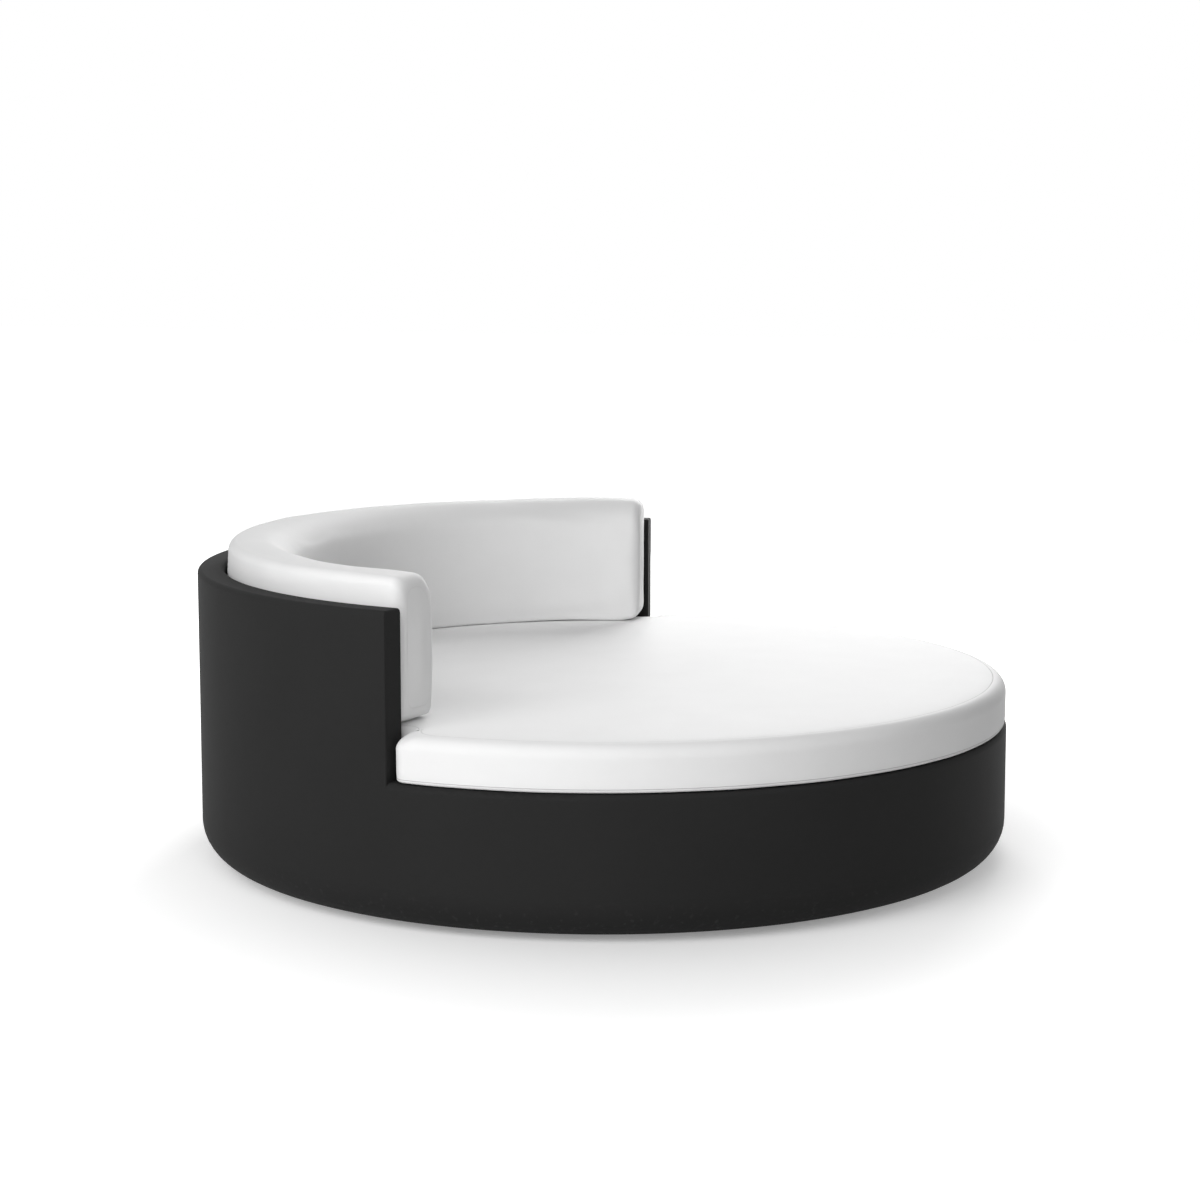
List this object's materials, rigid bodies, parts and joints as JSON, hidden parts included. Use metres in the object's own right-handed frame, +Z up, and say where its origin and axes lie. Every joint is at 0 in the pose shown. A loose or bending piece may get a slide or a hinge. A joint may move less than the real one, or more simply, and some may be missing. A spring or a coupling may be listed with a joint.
{
  "type": "round daybed",
  "caption": "Round outdoor daybed: moulded plastic drum with a wrap-around back wall, round mattress and C-shaped back cushion on low levelling glides.",
  "frame": {"origin": "on the floor under the drum's axis: the centre of the underside of the bounding box", "axes": "+Z up; the open front faces -Y and the back wall stands on the +Y side; +X to the right of someone looking along +Y"},
  "size_m": [2.1, 2.1, 0.821],
  "materials": {
    "shell_plastic": "matte",
    "plug_plastic": "satin",
    "insert_brass": "satin",
    "glide_steel": "satin",
    "glide_nylon": "satin",
    "hook_tape": "matte",
    "loop_tape": "matte",
    "seat_foam": "matte",
    "fibre_wadding": "matte",
    "base_mesh": "matte",
    "cover_cloth": "matte",
    "zip_tape": "matte",
    "zip_slider_metal": "satin"
  },
  "bodies": {
    "shell": {"shell": "shell_plastic", "vent_plug": "plug_plastic", "glide_inserts": "insert_brass", "glide_lock_nuts": "glide_steel", "wall_hook_strips": "hook_tape"},
    "mattress": {"mattress_foam": "seat_foam", "mattress_wadding": "fibre_wadding", "mattress_base_mesh": "base_mesh", "mattress_cover": "cover_cloth", "mattress_zip": "zip_tape"},
    "mattress_zip_slider": {"mattress_zip_slider": "zip_slider_metal"},
    "back_cushion": {"back_foam": "seat_foam", "back_wadding": "fibre_wadding", "back_cover": "cover_cloth", "back_zip": "zip_tape", "back_loop_strips": "loop_tape"},
    "back_zip_slider": {"back_zip_slider": "zip_slider_metal"},
    "glide_1": {"glide_1_pad": "glide_nylon", "glide_1_stud": "glide_steel"},
    "glide_2": {"glide_2_pad": "glide_nylon", "glide_2_stud": "glide_steel"},
    "glide_3": {"glide_3_pad": "glide_nylon", "glide_3_stud": "glide_steel"},
    "glide_4": {"glide_4_pad": "glide_nylon", "glide_4_stud": "glide_steel"},
    "glide_5": {"glide_5_pad": "glide_nylon", "glide_5_stud": "glide_steel"},
    "glide_6": {"glide_6_pad": "glide_nylon", "glide_6_stud": "glide_steel"}
  },
  "joints": [
    {"name": "mattress_lift", "type": "slide", "parent": "shell", "child": "mattress", "axis": [0, 0, 1], "range_m": [0, 0.42]},
    {"name": "back_cushion_lift", "type": "slide", "parent": "mattress", "child": "back_cushion", "axis": [0, 0, 1], "range_m": [0, 0.3]},
    {"name": "mattress_zip_travel", "type": "hinge", "parent": "mattress", "child": "mattress_zip_slider", "pos_m": [0, 0, 0.398], "axis": [0, 0, 1], "range_deg": [0, 100]},
    {"name": "back_zip_travel", "type": "hinge", "parent": "back_cushion", "child": "back_zip_slider", "pos_m": [0, 0, 0.531], "axis": [0, 0, 1], "range_deg": [0, 100]},
    {"name": "glide_1_level", "type": "slide", "parent": "shell", "child": "glide_1", "axis": [0, 0, -1], "range_m": [0, 0.015]},
    {"name": "glide_2_level", "type": "slide", "parent": "shell", "child": "glide_2", "axis": [0, 0, -1], "range_m": [0, 0.015]},
    {"name": "glide_3_level", "type": "slide", "parent": "shell", "child": "glide_3", "axis": [0, 0, -1], "range_m": [0, 0.015]},
    {"name": "glide_4_level", "type": "slide", "parent": "shell", "child": "glide_4", "axis": [0, 0, -1], "range_m": [0, 0.015]},
    {"name": "glide_5_level", "type": "slide", "parent": "shell", "child": "glide_5", "axis": [0, 0, -1], "range_m": [0, 0.015]},
    {"name": "glide_6_level", "type": "slide", "parent": "shell", "child": "glide_6", "axis": [0, 0, -1], "range_m": [0, 0.015]}
  ]
}
